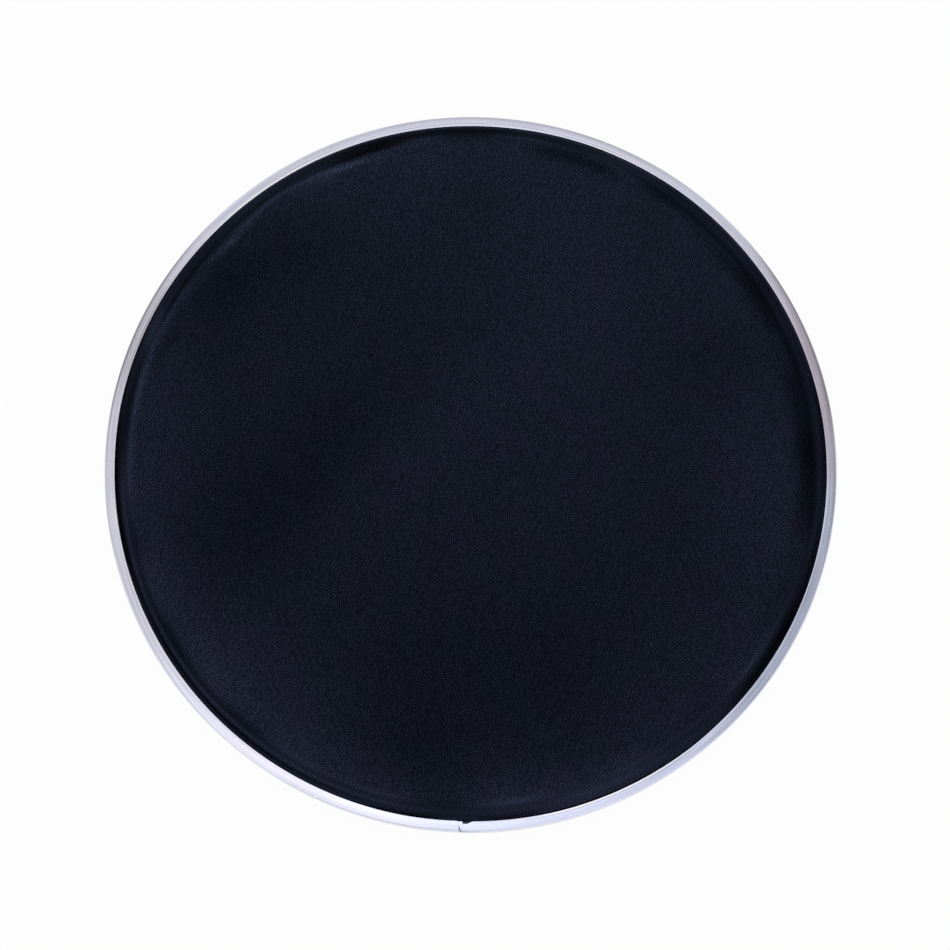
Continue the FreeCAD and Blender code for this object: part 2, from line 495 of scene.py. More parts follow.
@dataclass(frozen=True)
class DrawnAluminium:
    """Satin aluminium with the fine lines that rolling leaves along the hoop, painted reflection tints by
    side, and painted shade and highlights kept on its points.
    """

    cool: Colour = (0.68, 0.69, 0.83)
    warm: Colour = (0.70, 0.69, 0.80)
    warm_ends: Ends = (0.42, 0.62)
    side_light_tints: tuple[SideLightTint, ...] = (
        SideLightTint((0.63, 0.67, 0.86), -51.5, 0.3),
        SideLightTint((0.70, 0.635, 0.745), 15.0, 0.92),
        SideLightTint((0.58, 0.53, 0.62), 20.0, 0.992),
        SideLightTint((0.57, 0.56, 0.64), 159.0, 0.974),
    )
    # Colours of the rim's painted shade and painted highlight.
    dulled: Colour = (0.26, 0.25, 0.29)
    polished: Colour = (0.92, 0.92, 0.95)
    specks: Dots = Dots((0.95, 0.95, 0.97), 3.4 * MM, 0.13 * MM, share=0.4, channel=0, flat=True)
    line_width: float = 0.17 * MM
    line_length: float = 26.0 * MM
    line_shades: Ends = (0.80, 1.06)
    line_relief: float = 0.01 * MM
    relief_strength: float = 0.35
    band_width: float = 0.9 * MM
    band_shades: Ends = (-0.08, 0.05)
    patch_length: float = 45.0 * MM
    patch_detail: float = 3.0
    noise_ends: Ends = (0.3, 0.7)
    noise_detail: float = 2.0
    roughness: Ends = (0.18, 0.30)
    roughness_ends: Ends = (0.7, 1.3)

    def material(self, outer_radius: float) -> bpy.types.Material:
        """Wires the finish.

        Args:
            outer_radius: the hoop's outer radius.

        Returns:
            The material.
        """
        bench = Bench("hoop_aluminium")
        place = bench.place()
        x, y, z = bench.parted(place)
        radius = bench.measure("LENGTH", bench.joined(x, y))
        around = [bench.math("DIVIDE", part, radius) for part in (x, y)]

        def along(length: float, width: float) -> Socket:
            """Noise drawn out along the hoop.

            Args:
                length: how long its streaks are.
                width: how wide they are.

            Returns:
                A number from 0 to 1.
            """
            turned = (bench.math("MULTIPLY", part, outer_radius / length) for part in around)
            vector = bench.joined(*turned, bench.math("DIVIDE", radius, width))
            across = bench.math("DIVIDE", z, width)
            inputs = {"Vector": vector, "W": across, "Scale": 1.0, "Detail": self.noise_detail}
            return bench.step("ShaderNodeTexNoise", inputs, noise_dimensions="4D")

        lines = along(self.line_length, self.line_width)
        bands = along(self.patch_length, self.band_width)
        patches = bench.noise(place, self.patch_length, self.patch_detail)
        colour = bench.blend(bench.span(patches, self.warm_ends), self.cool, self.warm)
        # Painted reflection and shade: each side of the hoop leans to the colour that the light gives it
        # there.
        for tint in self.side_light_tints:
            turn = math.radians(tint.direction)
            towards = (math.cos(turn), math.sin(turn), 0.0)
            facing = bench.measure("DOT_PRODUCT", bench.joined(*around), towards)
            colour = bench.blend(bench.span(facing, (tint.start, 1.0)), colour, tint.colour)
        line_shade = bench.span(lines, self.noise_ends, self.line_shades)
        band_shade = bench.span(bands, self.noise_ends, self.band_shades)
        colour = bench.shaded(colour, bench.math("ADD", line_shade, band_shade))
        # Painted shade and painted highlight, by the shares that the points keep.
        for mark, tone in (("dull", self.dulled), ("polish", self.polished)):
            colour = bench.blend(bench.kept(mark), colour, tone)
        unrolled = bench.math("MULTIPLY", bench.math("ARCTAN2", y, x), outer_radius)
        surface = bench.joined(unrolled, bench.math("ADD", radius, z))
        bench.set(
            base_color=self.specks.over(bench, surface, colour),
            metallic=1.0,
            roughness=bench.span(bench.math("ADD", lines, patches), self.roughness_ends, self.roughness),
        )
        bench.bump(lines, self.line_relief, self.relief_strength)
        return bench.material


@dataclass(frozen=True)
class WovenMesh:
    """Black polyester cloth in plain weave, with the ply behind it showing between its threads, painted
    highlights on the threads' crowns and painted shade on their flanks and in the gaps.
    """

    name: str
    turn: float
    behind_turn: float
    warp_pitch: float = 0.62 * MM
    weft_pitch: float = 0.69 * MM
    thread_share: float = 0.52
    thread_lift: float = 0.5
    thread_crimp: float = 0.25
    thread_relief: float = 0.09 * MM
    relief_strength: float = 0.6
    warp_sheen: float = 1.2
    weft_sheen: float = 0.8
    unevenness: float = 0.28
    # Painted highlight on the threads' crowns, painted shade on their flanks and painted shade in the gaps.
    crown_highlight: Colour = (0.0124, 0.0141, 0.0274)
    flank_shade: Colour = (0.0011, 0.0014, 0.0034)
    gap_shade: Colour = (0.0003, 0.0004, 0.0010)
    crown_ends: Ends = (0.45, 1.0)
    behind_shade: float = 0.8
    violet: Colour = (1.06, 0.98, 1.03)
    teal: Colour = (0.92, 1.07, 0.99)
    teal_lean: float = 2.0
    dye_spacing: float = 16.0 * MM
    dye_detail: float = 1.5
    dye_ends: Ends = (0.33, 0.63)
    wander: float = 0.34 * MM
    wander_spacing: float = 1.8 * MM
    wander_detail: float = 1.0
    taut_share: float = 0.25
    lint: Dots = Dots((0.07, 0.075, 0.10), 4.2 * MM, 0.16 * MM, share=0.14, channel=1, flat=False)
    roughness: Ends = (0.75, 0.5)
    roughness_ends: Ends = (0.4, 1.0)
    specular: float = 0.004
    sheen: float = 0.01
    sheen_roughness: float = 0.4
    sheen_tint: Colour = (0.25, 0.32, 0.70)

    def _weave(self, bench: Bench, cut: Socket, slack: Socket, turn: float) -> tuple[Socket, Socket]:
        """Wires one ply's plain weave.

        Args:
            bench: the material's bench.
            cut: place on the flat cut of the cloth.
            slack: how uneven the threads are left there.
            turn: angle from the cut's X axis to the warp.

        Returns:
            Height of the threads, 0 in the gaps, and their tone: a painted sheen that makes the warp paler
            than the weft, times an unevenness that differs at random by float.
        """
        turned = bench.step("ShaderNodeVectorRotate", {"Vector": cut, "Angle": turn}, rotation_type="Z_AXIS")
        pitches = (self.warp_pitch, self.weft_pitch)
        numbers = [bench.math("DIVIDE", part, pitch) for part, pitch in zip(bench.parted(turned), pitches)]
        waves = [bench.math("SINE", bench.math("MULTIPLY", number, math.pi)) for number in numbers]
        heights = []
        for own, other, way in ((0, 1, 1.0), (1, 0, -1.0)):
            aside = bench.math("SUBTRACT", bench.math("FRACT", numbers[own]), 0.5)
            bent = bench.math("MULTIPLY", aside, 2 / self.thread_share)
            inside = bench.math("SUBTRACT", 1.0, bench.math("MULTIPLY", bent, bent))
            round_top = bench.math("SQRT", bench.math("MAXIMUM", inside, 0.0))
            crimp = bench.math("MULTIPLY", waves[other], bench.math("SIGN", waves[own]))
            bowed = bench.math("MULTIPLY_ADD", crimp, way, round_top)
            lift = bench.math("MULTIPLY_ADD", bowed, self.thread_crimp, self.thread_lift)
            heights.append(bench.math("MULTIPLY", lift, bench.math("GREATER_THAN", inside, 0.0)))
        cell = bench.joined(*(bench.math("FLOOR", number) for number in numbers))
        chance = bench.step("ShaderNodeTexWhiteNoise", {"Vector": cell}, noise_dimensions="2D")
        aside = bench.span(chance, ALL, (-self.unevenness, self.unevenness))
        uneven = bench.math("MULTIPLY_ADD", aside, slack, 1.0)
        # Painted sheen: a warp float on top shows paler than a weft float.
        on_top = bench.math("GREATER_THAN", *heights)
        tone = bench.math("MULTIPLY_ADD", on_top, self.warp_sheen - self.weft_sheen, self.weft_sheen)
        return bench.math("MAXIMUM", *heights), bench.math("MULTIPLY", uneven, tone)

    def _over(self, bench: Bench, height: Socket, tone: Socket, behind: object) -> Socket:
        """Colour of threads by their height and tone, with a painted highlight on their crowns and painted
        shade on their flanks, over what shows in their gaps.
        """
        thread = bench.blend(bench.span(height, self.crown_ends), self.flank_shade, self.crown_highlight)
        return bench.blend(bench.math("GREATER_THAN", height, 0.0), behind, bench.shaded(thread, tone))

    def material(self) -> bpy.types.Material:
        """Wires the finish.

        Returns:
            The material.
        """
        bench = Bench(self.name)
        flat = bench.kept("cut", "Vector")
        slack = bench.span(bench.kept("taut"), ALL, (1.0, self.taut_share))
        drift = bench.noise(flat, self.wander_spacing, self.wander_detail, "Color")
        reach = bench.math("MULTIPLY", slack, self.wander)
        moved = {0: drift, 1: bench.joined(reach, reach), 2: flat}
        cut = bench.step("ShaderNodeVectorMath", moved, operation="MULTIPLY_ADD")
        own, under = (self._weave(bench, cut, slack, turn) for turn in (self.turn, self.behind_turn))
        # Painted shade: the ply behind shows dimmed in the gaps, as if in shadow, over the gaps' painted
        # shade.
        behind = bench.blend(self.behind_shade, self.gap_shade, self._over(bench, *under, self.gap_shade))
        colour = self._over(bench, *own, behind)
        far_side = bench.math("MAXIMUM", bench.parted(cut)[1], 0.0)
        patches = bench.noise(cut, self.dye_spacing, self.dye_detail)
        dye = bench.span(bench.math("MULTIPLY_ADD", far_side, self.teal_lean, patches), self.dye_ends)
        colour = bench.blend(1.0, colour, bench.blend(dye, self.violet, self.teal), "MULTIPLY")
        # Painted light and shade of the swells, folds, shoulder, collar and slit, kept on the points as
        # tone.
        colour = bench.shaded(colour, bench.kept("tone"))
        bench.set(
            base_color=self.lint.over(bench, cut, colour),
            roughness=bench.span(own[0], self.roughness_ends, self.roughness),
            specular_ior_level=self.specular,
            sheen_weight=self.sheen,
            sheen_roughness=self.sheen_roughness,
            sheen_tint=(*self.sheen_tint, 1.0),
        )
        bench.bump(own[0], self.thread_relief, self.relief_strength)
        return bench.material


@dataclass(frozen=True)
class MottledFinish:
    """Plain hidden finish with a soft mottle: cast resin, drawn wire or mill-finish strip."""

    name: str
    light: Colour
    dark: Colour
    metallic: float
    roughness: Ends
    grain: float
    relief: float
    # Painted shade near the hoop's open joint and down in its slit.
    painted_shade: Colour | None = None
    shade_place: Place = (-1.5 * MM, -105.0 * MM, 7.0 * MM)
    shade_ends: Ends = (6.0 * MM, 9.0 * MM)
    shade_depth: float = 0.9 * MM
    shade_fade: float = 0.4 * MM
    mottle_detail: float = 4.0
    mottle_ends: Ends = (0.35, 0.65)
    roughness_ends: Ends = (0.3, 0.7)
    relief_strength: float = 0.4

    def material(self, slit_radius: float = 0.0) -> bpy.types.Material:
        """Wires the finish, with painted shade near the hoop's open joint and down in its slit if it has a
        painted shade colour.

        Args:
            slit_radius: radius of the slit's outer side.

        Returns:
            The material.
        """
        bench = Bench(self.name)
        place = bench.place()
        mottle = bench.noise(place, self.grain, self.mottle_detail)
        colour = bench.blend(bench.span(mottle, self.mottle_ends), self.dark, self.light)
        # Painted shade: darker near the open joint and down in the slit, where shade falls.
        if self.painted_shade is not None:
            clear = bench.span(bench.measure("DISTANCE", place, self.shade_place), self.shade_ends)
            from_axis = bench.measure("LENGTH", bench.joined(*bench.parted(place)[:2]))
            edge = slit_radius + self.shade_depth
            past_slit = bench.span(from_axis, (edge - self.shade_fade, edge))
            colour = bench.blend(bench.math("MINIMUM", clear, past_slit), self.painted_shade, colour)
        worn = bench.span(mottle, self.roughness_ends, self.roughness)
        bench.set(base_color=colour, metallic=self.metallic, roughness=worn)
        bench.bump(mottle, self.relief, self.relief_strength)
        return bench.material


class Marks:
    """Stretches of the hoop that show a mark, by direction and half width in degrees and by its share."""

    def __init__(self, *arcs: tuple[float, float, float]) -> None:
        """Takes the stretches."""
        self.arcs = arcs

    def share(self, angle: np.ndarray) -> np.ndarray:
        """How much of the mark each direction has."""
        return sum(share * arc_strength(angle, *arc) for *arc, share in self.arcs)


@dataclass
class RolledHoop:
    """Channel rolled to a ring and open at the top, with its pressed rim, butt joint and nick."""

    outer_radius: float
    height: float
    bore_radius: float
    wall: float = 0.9 * MM
    rim_width: float = 3.1 * MM
    rim_outer_round: float = 0.45 * MM
    rim_lip_round: float = 0.25 * MM
    groove_inset: float = 0.85 * MM
    groove_width: float = 0.2 * MM
    groove_depth: float = 0.07 * MM
    groove_land: float = 0.06 * MM
    groove_marks: Marks = Marks((95, 75, 1.0), (-65, 22, 0.8), (168, 26, 0.8))
    # Share of painted shade in the groove's bottom.
    groove_dullness: float = 0.45
    recess_depth: float = 0.25 * MM
    recess_marks: Marks = Marks((-66, 22, 0.7), (160, 24, 1.0), (62, 26, 0.5))
    inner_wall_drop: float = 0.6 * MM
    inner_wall_round: float = 0.3 * MM
    foot_round: float = 0.6 * MM
    butt_offset: float = 3.3 * MM
    butt_gap: float = 0.27 * MM
    butt_gap_at_lip: float = 0.02 * MM
    open_from_share: float = 0.3
    butt_slant: float = math.radians(20.0)
    slant_fade: float = 1.4 * MM
    end_step: float = 0.12 * MM
    step_fade: float = 16.0 * MM
    nick_set_off: float = 1.2 * MM
    nick_width: float = 0.8 * MM
    nick_taper: float = 2.6 * MM
    nick_depth: float = 0.85 * MM
    edge_band: float = 0.85 * MM
    # Painted highlight and painted shade on the rim: how strong they are, how far they reach and the
    # stretches that have them.
    edge_polish: float = 0.5
    joint_shadow_reach: float = 4.0 * MM
    seam_shade_reach: float = 0.3 * MM
    dull_marks: Marks = Marks((158, 26, 0.95), (75, 34, 0.37), (22, 22, 0.75), (-174, 13, 0.14))
    shade_marks: Marks = Marks((92, 50, 0.22), (19, 22, 0.50), (-15, 30, 0.15), (-107, 26, 0.22))
    polish_marks: Marks = Marks((-67, 18, 0.7), (126, 18, 0.6), (85, 40, 0.25))
    point_slack: float = 0.018 * MM
    segments: int = 900
    end_crowding: float = 0.86
    arc_step: float = math.radians(15.0)
    sharp_from: float = math.radians(20.0)
    finish: DrawnAluminium = DrawnAluminium()

    @property
    def lip_radius(self) -> float:
        """Radius of the rim's inner lip."""
        return self.outer_radius - self.rim_width

    @property
    def underside(self) -> float:
        """Height of the rim's underside."""
        return self.height - self.wall

    @property
    def joint_angle(self) -> float:
        """Direction of the butt joint, just left of the nearest point."""
        return -math.pi / 2 - self.butt_offset / self.lip_radius

    @property
    def groove_radius(self) -> float:
        """Radius of the groove that runs round beside the lip."""
        return self.lip_radius + self.groove_inset

    def section(self) -> np.ndarray:
        """Closed section of the channel, from its foot outwards and round.

        Returns:
            Points as rows of radius and height.
        """
        groove, half = self.groove_radius, self.groove_width / 2
        inner, outer = self.bore_radius + self.wall, self.outer_radius - self.wall
        inner_top = self.height - self.inner_wall_drop
        corners = [
            Corner(self.bore_radius, 0.0, self.foot_round),
            Corner(self.outer_radius, 0.0, self.foot_round),
            Corner(self.outer_radius, self.height - self.edge_band),
            Corner(self.outer_radius, self.height, self.rim_outer_round),
            Corner(self.outer_radius - self.edge_band, self.height),
            Corner(groove + half + self.groove_land, self.height),
            Corner(groove + half, self.height),
            Corner(groove, self.height - self.groove_depth),
            Corner(groove - half, self.height),
            Corner(groove - half - self.groove_land, self.height),
            Corner(self.lip_radius, self.height, self.rim_lip_round),
            Corner(self.lip_radius, self.underside),
            Corner(outer, self.underside),
            Corner(outer, self.wall),
            Corner(inner, self.wall),
            Corner(inner, inner_top, self.inner_wall_round),
            Corner(self.bore_radius, inner_top, self.inner_wall_round),
        ]
        return rounded_section(corners, self.arc_step)

    def _in_groove(self, radius: np.ndarray) -> np.ndarray:
        """Whether each radius is the groove's bottom."""
        return np.abs(radius - self.groove_radius) < self.groove_width / 4

    def _nick_radius(self, past_joint: np.ndarray) -> np.ndarray:
        """Radius that the nick has cut the lip back to.

        Args:
            past_joint: distance past the joint.

        Returns:
            The lip's radius there.
        """
        start, flat = self.nick_set_off, self.nick_set_off + self.nick_width
        opening = smooth_step(start - self.groove_width, start, past_joint)
        closing = 1 - smooth_step(flat, flat + self.nick_taper, past_joint)
        return self.lip_radius + self.nick_depth * opening * closing

    def _shape_rim(self, mesh: bpy.types.Mesh) -> None:
        """Slants the strip's ends, sets one back a little, cuts the nick and varies the lip and its groove.

        Args:
            mesh: the hoop's mesh.
        """
        radius, angle, height = point_values(mesh, "axis_distance", "angle", "height")
        past = angle_between(angle, self.joint_angle) * self.lip_radius
        above = height > self.underside - self.point_slack
        in_rim = above & (radius > self.lip_radius - self.groove_width / 2)
        on_lip = in_rim * (1 - smooth_step(self.lip_radius + self.rim_lip_round, self.groove_radius, radius))
        recessed = radius + on_lip * self.recess_depth * self.recess_marks.share(angle)
        shaped = np.where(in_rim, np.maximum(recessed, self._nick_radius(past)), radius)
        pressed = self.height - self.groove_depth * np.clip(self.groove_marks.share(angle), 0.0, 1.0)
        height = np.where(in_rim & self._in_groove(radius), pressed, height)
        outward = (shaped - self.lip_radius) / self.rim_width
        open_share = smooth_step(self.open_from_share, 1.0, outward)
        open_share = open_share * smooth_step(self.height / 2, self.height - self.rim_outer_round, height)
        opened = self.butt_gap_at_lip + (self.butt_gap - self.butt_gap_at_lip) * open_share
        shift = (outward - 0.5) * self.rim_width * math.tan(self.butt_slant)
        spread = np.sign(past) * (opened - self.butt_gap) / 2
        near_joint = 1 - smooth_step(0.0, self.slant_fade, np.abs(past))
        angle = angle + near_joint * (shift + spread) / self.lip_radius
        set_back = self.end_step * (past < 0) * (1 - smooth_step(0.0, self.step_fade, np.abs(past)))
        set_places(mesh, shaped - set_back, angle, height)

    def _paint_shade_and_highlight(self, mesh: bpy.types.Mesh) -> None:
        """Keeps on each point how much painted shade and how much painted highlight the metal has there.

        Args:
            mesh: the hoop's mesh.
        """
        radius, angle, height = point_values(mesh, "axis_distance", "angle", "height")
        past = angle_between(angle, self.joint_angle) * self.lip_radius
        band, edge = self.outer_radius - self.edge_band, self.outer_radius - self.rim_outer_round
        top = self.height - self.rim_outer_round
        # Painted shade on the outer edge, on the given stretches where it turns from the light.
        around = self.dull_marks.share(angle)
        at_edge = radius > self.outer_radius - self.rim_outer_round / 2
        # Painted shadow along the outer edge past the joint, where one end stands proud.
        by_joint = np.where((past > 0) & at_edge, np.exp(-past / self.joint_shadow_reach), 0.0)
        # Painted shade on the rim beside the seam.
        by_seam = smooth_step(self.lip_radius + self.rim_width / 3, band, radius)
        by_seam = by_seam * np.exp(-((past / self.seam_shade_reach) ** 2))
        # Painted shade over the rim's outer part, on the given stretches.
        by_side = smooth_step(self.groove_radius + self.groove_width, band, radius)
        by_side = by_side * self.shade_marks.share(angle)
        # Painted shade in the groove's bottom.
        by_groove = self._in_groove(radius) * self.groove_dullness * self.groove_marks.share(angle)
        on_outside = smooth_step(band, edge, radius) * (around + by_joint)
        dull = np.clip(on_outside + by_seam + by_side + by_groove, 0.0, 1.0)
        dull = dull * smooth_step(self.height - 2 * self.edge_band, top, height)
        # Painted highlight on the outer rounding where it is not shaded, and on the lip on the given
        # stretches.
        on_edge = smooth_step(edge, self.outer_radius, radius)
        on_edge = on_edge * self.edge_polish * (1 - np.clip(around + by_joint, 0.0, 1.0))
        on_lip = (radius < self.groove_radius - self.groove_width / 4) * self.polish_marks.share(angle)
        polish = np.clip(on_edge + on_lip, 0.0, 1.0) * smooth_step(self.height - self.edge_band, top, height)
        keep_values(mesh, dull=dull, polish=polish)

    def build(self, sweep: TurnedSweep) -> bpy.types.Object:
        """Turns the section from one end of the strip to the other and shapes the joint.

        Args:
            sweep: the tree that turns sections.

        Returns:
            The hoop.
        """
        section = self.section()
        runs = np.concatenate(([0.0], np.cumsum(np.linalg.norm(np.diff(section, axis=0), axis=1))))
        half_gap = self.butt_gap / 2 / self.lip_radius
        hoop = sweep.turn(
            "rolled_hoop",
            section,
            runs,
            looped=True,
            segments=self.segments,
            start_angle=self.joint_angle + half_gap,
            sweep_angle=FULL_TURN - 2 * half_gap,
            end_crowding=self.end_crowding,
            closed=False,
            material=self.finish.material(self.outer_radius),
        )
        self._shape_rim(hoop.data)
        self._paint_shade_and_highlight(hoop.data)
        face_outwards(hoop.data, self.sharp_from)
        return hoop

    def dress(self, hoop: bpy.types.Object) -> None:
        """Fixes the hoop to the body in place of its plain solid.

        Args:
            hoop: the hoop.
        """
        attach(hoop, BODY)
        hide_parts("hoop_channel")


@dataclass(frozen=True)
class Swell:
    """Broad soft rise or hollow of the slack playing surface, long one way, and its tone: painted light or
    shade that stands for how the light lies on it.

    Its sizes are in millimetres and its direction is in degrees.
    """

    x: float
    y: float
    length: float
    width: float
    direction: float
    rise: float
    tone: float

    def strength(self, x: np.ndarray, y: np.ndarray) -> np.ndarray:
        """How much of the swell each place has.

        Args:
            x: the places' first coordinate.
            y: their second.

        Returns:
            A share for each place.
        """
        turn = math.radians(self.direction)
        x, y = x / MM - self.x, y / MM - self.y
        along = x * math.cos(turn) + y * math.sin(turn)
        across = y * math.cos(turn) - x * math.sin(turn)
        return np.exp(-((along / self.length) ** 2 + (across / self.width) ** 2) / 2)


@dataclass(frozen=True)
class Slump:
    """Stretch of the shoulder, in degrees, that is drawn inwards and lies lower, by millimetres."""

    direction: float
    half_width: float
    drawn_in: float
    drop: float

    def strength(self, angle: np.ndarray) -> np.ndarray:
        """How much of the slump each direction has."""
        return arc_strength(angle, self.direction, self.half_width)


@dataclass(frozen=True)
class Fold:
    """Soft crease or ridge of the collar, set in from the hoop's lip, and its tone: painted light or shade
    that stands for how the light lies on it, which also sets how far it rises.

    Its direction and half width are in degrees, and its inset, width and lean in millimetres.
    """

    direction: float
    half_width: float
    inset: float
    width: float
    tone: float
    lean: float = 0.0

    def strength(self, angle: np.ndarray, inset: np.ndarray) -> np.ndarray:
        """How much of the fold each place has.

        Args:
            angle: the places' directions.
            inset: how far in from the lip they lie.

        Returns:
            A share for each place.
        """
        aside = angle_between(angle, math.radians(self.direction)) / math.radians(self.half_width)
        across = (inset / MM - self.inset - self.lean * aside) / self.width
        return np.exp(-(aside**4) / 2 - across**2 / 2)


@dataclass
class MeshSkin:
    """Two woven plies, one on the other, over the collar and into the hoop's channel."""

    hoop: RolledHoop
    playing_height: float
    lowest: float
    ply_thickness: float = 0.3 * MM
    ply_gap: float = 0.05 * MM
    collar_run: float = 4.4 * MM
    shoulder_radius: float = 2.2 * MM
    collar_foot_radius: float = 0.7 * MM
    tail_length: float = 1.2 * MM
    segments: int = 540
    path_steps: tuple[int, ...] = (42, 9, 12, 4, 2, 10, 1)
    flat_crowding: float = 1.3
    pucker_seed: int = 7
    pucker_count: int = 9
    pucker_waves: int = 5
    pucker_more_waves: int = 2
    pucker_weights: Ends = (0.5, 1.0)
    pucker_rise: float = 0.10 * MM
    pucker_reach: float = 13.0 * MM
    # Painted glow and painted highlight that the puckers add along the edge and the ridge.
    pucker_glow: float = 0.05
    pucker_highlight: float = 0.12
    slump_reach: float = 16.0 * MM
    slump_fading: float = 3.0
    fold_rise: float = 0.12 * MM
    sharp_from: float = math.radians(50.0)
    upper_turn: float = math.radians(-5.0)
    lower_turn: float = math.radians(40.0)
    # Painted highlight on the shoulder's ridge, painted glow by the edge, painted shade down the collar,
    # painted highlight at its foot and painted shade in the slit.
    ridge_width: float = 0.9 * MM
    ridge_highlight: float = 0.12
    edge_glow: float = 0.28
    edge_glow_reach: float = 8.0 * MM
    collar_shade: float = 0.66
    foot_highlight: float = 0.12
    slit_shade: float = 0.08
    shown_face_size: float = 0.400
    hidden_face_size: float = 0.175
    face_margin: float = 0.004
    # Each fold's tone is painted shade below 0 and painted light above 0.
    folds: tuple[Fold, ...] = tuple(
        Fold(*row)
        for row in (
            (-4, 8, 5.4, 2.2, -0.64), (8, 10, 6, 2.8, -0.62), (25, 9, 3.8, 2.6, -0.52),
            (43, 12, 3.6, 2.7, -0.55), (72, 7, 7.1, 1.3, -0.48), (98, 13, 2.9, 1.5, -0.55),
            (113, 9, 2.6, 1.6, -0.3), (128, 8, 3.9, 1.5, -0.24), (145, 9, 3.6, 1.5, -0.26),
            (172, 9, 2.7, 0.8, -0.6), (-146, 20, 3.9, 0.8, -0.5), (-140, 24, 1.4, 0.45, -0.75),
            (-34, 8, 1.5, 1.2, -0.74), (-22, 9, 1, 0.8, -0.64), (-173, 11, 0.8, 0.6, -0.92),
            (170, 12, 0.4, 0.4, -0.9), (-100, 5, 0.5, 0.4, -0.8), (-84, 4, 0.7, 0.45, -0.6),
            (5, 9, 0.7, 0.5, -0.75), (-172, 10, 2.9, 0.6, 1), (170, 11, 5.1, 0.65, 0.62),
            (149.5, 5.5, 5.4, 0.4, 0.6, 0.1), (140.5, 3.5, 6.2, 0.45, 0.85, -0.9),
            (131.8, 5.2, 6.2, 0.4, 0.8, 0.9), (119.3, 7.3, 6.1, 0.5, 0.85, -0.8),
            (104, 8, 5.8, 0.6, 0.5, 1), (-135, 30, 8.5, 3.6, 0.24), (-80, 12, 6.5, 3.4, 0.24),
            (-60, 14, 5, 2.4, 0.18), (-15, 16, 6, 2.4, -0.22), (81, 12, 4.3, 0.5, 0.25),
            (75, 16, 3.6, 1.4, -0.42), (66, 6, 3.4, 0.9, 0.36), (51, 3, 6.7, 1.5, 0.45),
            (19, 3.5, 7.1, 1.2, 0.45), (-5, 10, 2.6, 0.5, 0.7), (-62, 13, 1.6, 1.3, 0.75),
            (-130, 28, 2.3, 0.35, 0.8), (157, 3, 3.2, 2, 0.45), (-30, 8, 3.9, 0.6, 0.45),
            (-86, 27, 2.5, 1.2, 0.5), (36, 24, 2.6, 0.9, 0.85), (147, 22, 2.6, 0.9, 0.7),
            (143, 7, 6.8, 1.2, 0.5), (112, 7, 6.8, 1.3, 0.24), (-52, 7, 5, 2.2, -0.3),
            (158, 6, 7, 2, -0.22), (113, 7, 4.6, 0.8, -0.28), (60, 48, 0.7, 0.3, 1.8),
            (113, 9, 4.7, 0.8, -0.34), (109, 6, 5.2, 0.7, -0.36), (101, 6, 3.9, 0.7, -0.26),
            (114, 8, 7.4, 0.9, 0.16), (129, 6, 4.6, 0.8, -0.2), (151, 6, 4.3, 0.7, -0.22),
            (61, 9, 5.8, 1.5, -0.2), (37, 9, 6.4, 1.4, -0.2), (-58, 10, 1.4, 0.7, -0.22),
            (-60, 8, 4.2, 0.9, -0.2), (0, 6, 4, 0.7, 0.5), (-41, 6, 2.8, 1.1, 0.42),
            (-140, 20, 2.9, 0.6, 0.36), (-70, 6, 3.4, 1.6, 0.24), (140, 34, 0.7, 0.3, 0.9),
            (-118, 40, 0.7, 0.3, 0.6), (32, 10, 7.3, 1.7, -0.24), (35, 17, 3.4, 0.8, 0.5),
        )
    )
    swells: tuple[Swell, ...] = tuple(
        Swell(*row)
        for row in (
            (-74, 52, 12, 9, 60, -0.3, -0.34), (-52, 66, 12, 8, 30, -0.15, -0.2),
            (-63, -21, 20, 15, 50, -0.35, -0.31), (-38, 6, 18, 10, 55, -0.15, -0.2),
            (-14, -60, 20, 16, 10, -0.3, -0.22), (-17, -84, 10, 9, 0, -0.1, -0.25),
            (22, -68, 18, 12, 25, -0.2, -0.22), (75, 31, 12, 8, 20, -0.3, -0.18),
            (3, 78, 9, 6, 60, -0.1, -0.08), (42, -42, 26, 13, 10, -0.15, -0.13),
            (34, 40, 34, 20, 70, 0.3, 0.2), (-12, 6, 46, 9, 42, 0.2, 0.16),
            (-72, -55, 20, 10, -55, 0.2, 0.24), (-26, 84, 22, 12, 15, 0.2, 0.2),
            (-6, 91, 26, 7, 0, 0.05, 0.18), (62, -52, 26, 14, 45, 0.2, 0.1),
            (84, -8, 26, 10, 95, 0.1, 0.26), (20, 66, 26, 14, 0, 0.1, 0.18),
            (24, 79, 9, 7, 0, 0.05, 0.14), (-46, -71, 18, 9, -35, 0.1, 0.13),
            (74, 45, 10, 7, -50, 0.05, 0.12), (-89, 6, 20, 6, 90, 0.1, 0.22),
        )
    )
    slumps: tuple[Slump, ...] = (
        Slump(141, 24, 1.0, 0.0),
        Slump(16, 40, 1.6, 0.6),
        Slump(178, 22, 0.4, 0.1),
        Slump(52, 16, 1.2, 0.4),
    )

    @property
    def path_height(self) -> float:
        """Height of the surface between the plies."""
        return self.playing_height - self.ply_thickness - self.ply_gap / 2

    @property
    def cut_radius(self) -> float:
        """Radius of the disc that each ply is cut from."""
        return sum(stretch.length for stretch in self.stretches())

